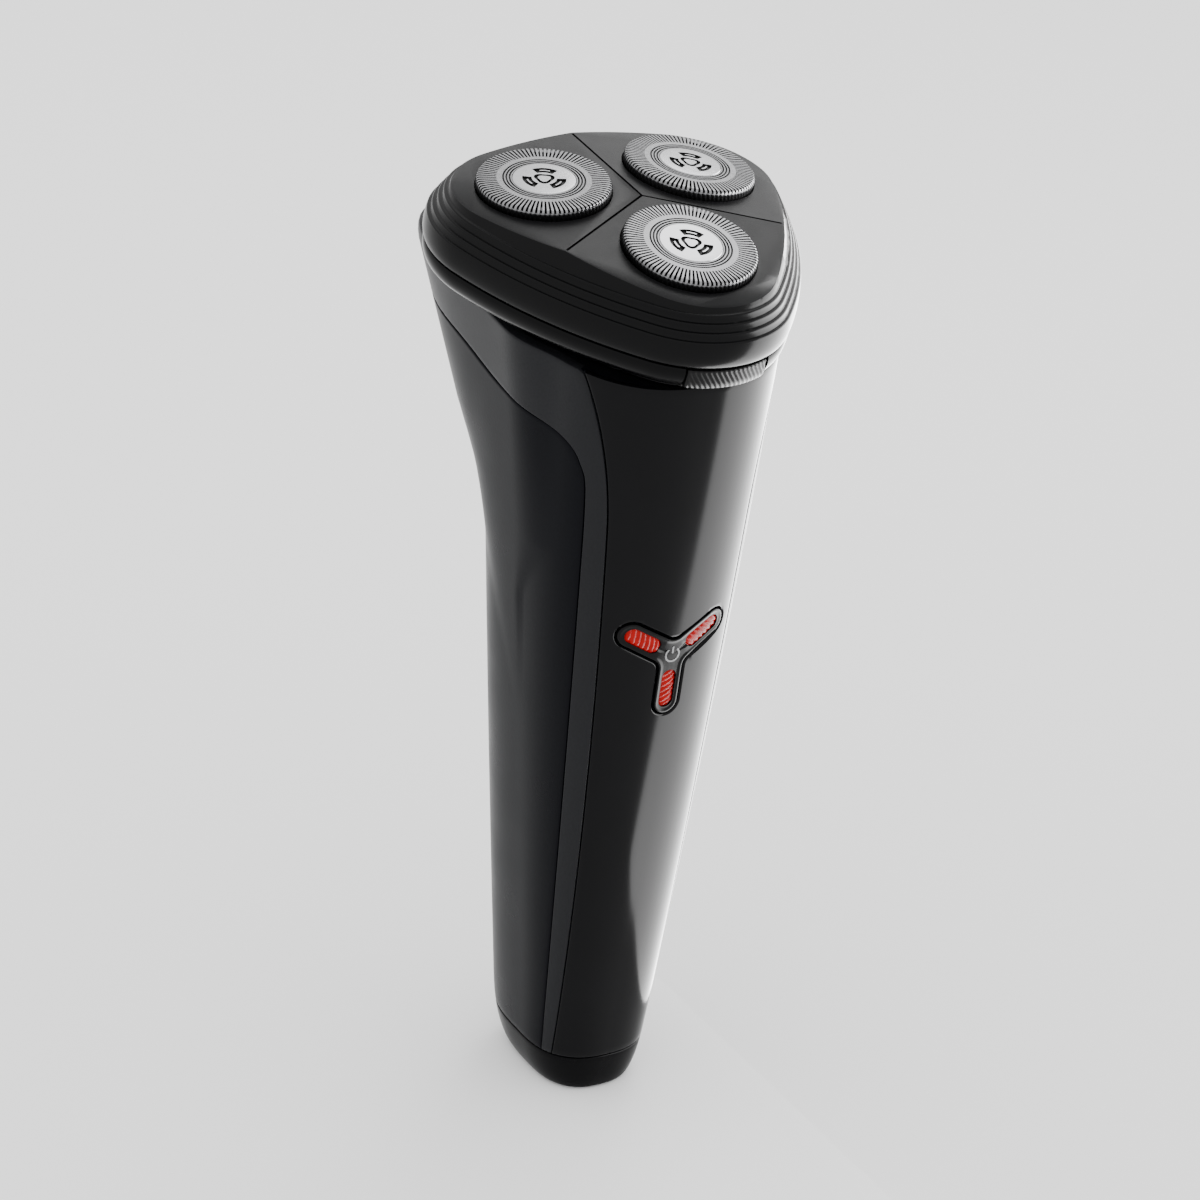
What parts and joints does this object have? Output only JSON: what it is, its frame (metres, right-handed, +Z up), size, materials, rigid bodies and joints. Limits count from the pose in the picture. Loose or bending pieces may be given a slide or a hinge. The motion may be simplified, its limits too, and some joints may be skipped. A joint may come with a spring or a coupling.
{
  "type": "electric shaver",
  "caption": "Cordless rotary shaver: tapered black handle, hinged triangular shaving unit with floating round steel heads, lit power button and a charging inlet in the base.",
  "frame": {"origin": "centre line of the handle on the flat face of the base", "axes": "+Z up the handle towards the shaving unit, -Y towards the front with the power button, +X to the right hand side seen from the back"},
  "size_m": [0.062, 0.07, 0.161],
  "materials": {
    "head_cover": "satin black",
    "retaining_frame": "moulded dark grey",
    "lock_wheel": "moulded black",
    "guard": "fine ground steel",
    "cap_disc": "bright satin steel",
    "cutter": "ground steel",
    "chamber": "gloss black",
    "carrier": "moulded black",
    "steel": "bright steel",
    "gear": "natural acetal",
    "motor": "plated steel",
    "brass": "turned brass",
    "release": "satin black",
    "panel": "high gloss black",
    "front_shell": "satin anthracite",
    "rear_shell": "satin black",
    "base": "gloss black",
    "frame_grey": "moulded grey",
    "button": "gloss black",
    "window": "translucent red",
    "board": "green solder mask",
    "component": "black",
    "white": "white",
    "cell": "green sleeve",
    "nickel": "nickel strip",
    "socket": "moulded black"
  },
  "bodies": {
    "handle": {"front_panel": "panel", "front_housing": "front_shell", "rear_housing": "rear_shell", "base_cap": "base", "chassis": "frame_grey", "chamber_base": "chamber", "gear_carrier": "carrier", "hinge_pin": "steel", "motor": "motor", "carrier_screws": "steel", "circuit_board": "board", "tact_switch": "component", "status_leds": "white", "battery": "cell", "battery_tabs": "nickel", "charge_socket": "socket", "socket_pins": "steel"},
    "shaving_unit": {"head_cover": "head_cover", "retaining_frame": "retaining_frame"},
    "lock": {"lock_wheel": "lock_wheel"},
    "rotor": {"motor_pinion": "brass"},
    "power": {"power_button": "button", "light_windows": "window", "switch_plunger": "white"},
    "release": {"release_button": "release", "release_spring": "steel"},
    "head_front": {"guard_front": "guard", "cap_disc_front": "cap_disc"},
    "cutter_front": {"cutter_front": "cutter"},
    "gear_front": {"drive_gear_front": "gear", "spindle_spring_front": "steel"},
    "spindle_front": {"drive_spindle_front": "white"},
    "head_right": {"guard_right": "guard", "cap_disc_right": "cap_disc"},
    "cutter_right": {"cutter_right": "cutter"},
    "gear_right": {"drive_gear_right": "gear", "spindle_spring_right": "steel"},
    "spindle_right": {"drive_spindle_right": "white"},
    "head_left": {"guard_left": "guard", "cap_disc_left": "cap_disc"},
    "cutter_left": {"cutter_left": "cutter"},
    "gear_left": {"drive_gear_left": "gear", "spindle_spring_left": "steel"},
    "spindle_left": {"drive_spindle_left": "white"}
  },
  "joints": [
    {"name": "lid_hinge", "type": "hinge", "parent": "handle", "child": "shaving_unit", "pos_m": [0, 0.02943, 0.14863], "axis": [-1, 0, 0], "range_deg": [0, 100]},
    {"name": "head_front_float", "type": "slide", "parent": "shaving_unit", "child": "head_front", "axis": [0, 0.2706, -0.9627], "range_m": [0, 0.0012], "stiffness_N_per_m": 400, "springref_m": -0.001},
    {"name": "cutter_front_spin", "type": "hinge", "parent": "head_front", "child": "cutter_front", "pos_m": [0, -0.01415, 0.15525], "axis": [0, -0.2706, 0.9627], "continuous": true},
    {"name": "head_right_float", "type": "slide", "parent": "shaving_unit", "child": "head_right", "axis": [-0.0815, 0.1317, -0.9879], "range_m": [0, 0.0012], "stiffness_N_per_m": 400, "springref_m": -0.001},
    {"name": "cutter_right_spin", "type": "hinge", "parent": "head_right", "child": "cutter_right", "pos_m": [0.01334, 0.00858, 0.15938], "axis": [0.0815, -0.1317, 0.9879], "continuous": true},
    {"name": "head_left_float", "type": "slide", "parent": "shaving_unit", "child": "head_left", "axis": [0.0815, 0.1317, -0.9879], "range_m": [0, 0.0012], "stiffness_N_per_m": 400, "springref_m": -0.001},
    {"name": "cutter_left_spin", "type": "hinge", "parent": "head_left", "child": "cutter_left", "pos_m": [-0.01334, 0.00858, 0.15938], "axis": [-0.0815, -0.1317, 0.9879], "continuous": true},
    {"name": "lock_turn", "type": "hinge", "parent": "shaving_unit", "child": "lock", "pos_m": [0, 0.001, 0.158], "axis": [0, -0.1788, 0.9839], "range_deg": [0, 50]},
    {"name": "pinion_spin", "type": "hinge", "parent": "handle", "child": "rotor", "pos_m": [0, 0.001, 0.158], "axis": [0, -0.1788, 0.9839], "continuous": true},
    {"name": "gear_front_spin", "type": "hinge", "parent": "handle", "child": "gear_front", "pos_m": [0, -0.01339, 0.15538], "axis": [0, -0.1788, 0.9839], "continuous": true},
    {"name": "spindle_front_press", "type": "slide", "parent": "gear_front", "child": "spindle_front", "axis": [0, 0.1788, -0.9839], "range_m": [0, 0.0012], "stiffness_N_per_m": 300, "springref_m": -0.001, "deforming": ["spindle_spring_front"]},
    {"name": "gear_right_spin", "type": "hinge", "parent": "handle", "child": "gear_right", "pos_m": [0.01267, 0.00819, 0.15931], "axis": [0, -0.1788, 0.9839], "continuous": true},
    {"name": "spindle_right_press", "type": "slide", "parent": "gear_right", "child": "spindle_right", "axis": [0, 0.1788, -0.9839], "range_m": [0, 0.0012], "stiffness_N_per_m": 300, "springref_m": -0.001, "deforming": ["spindle_spring_right"]},
    {"name": "gear_left_spin", "type": "hinge", "parent": "handle", "child": "gear_left", "pos_m": [-0.01267, 0.00819, 0.15931], "axis": [0, -0.1788, 0.9839], "continuous": true},
    {"name": "spindle_left_press", "type": "slide", "parent": "gear_left", "child": "spindle_left", "axis": [0, 0.1788, -0.9839], "range_m": [0, 0.0012], "stiffness_N_per_m": 300, "springref_m": -0.001, "deforming": ["spindle_spring_left"]},
    {"name": "power_press", "type": "slide", "parent": "handle", "child": "power", "axis": [0, 0.9965, 0.0837], "range_m": [0, 0.0006], "stiffness_N_per_m": 1500, "springref_m": -0.0004},
    {"name": "release_press", "type": "slide", "parent": "handle", "child": "release", "axis": [0, 0.9839, 0.1788], "range_m": [0, 0.001], "stiffness_N_per_m": 1500, "springref_m": -0.0006, "deforming": ["release_spring"]}
  ],
  "couplings": [
    {"joint": "pinion_spin", "follows": "gear_front_spin", "ratio": -2},
    {"joint": "gear_right_spin", "follows": "gear_front_spin", "ratio": 1},
    {"joint": "gear_left_spin", "follows": "gear_front_spin", "ratio": 1},
    {"joint": "cutter_front_spin", "follows": "gear_front_spin", "ratio": 1},
    {"joint": "cutter_right_spin", "follows": "gear_front_spin", "ratio": 1},
    {"joint": "cutter_left_spin", "follows": "gear_front_spin", "ratio": 1},
    {"joint": "spindle_front_press", "follows": "head_front_float", "ratio": 1},
    {"joint": "spindle_right_press", "follows": "head_right_float", "ratio": 1},
    {"joint": "spindle_left_press", "follows": "head_left_float", "ratio": 1}
  ]
}
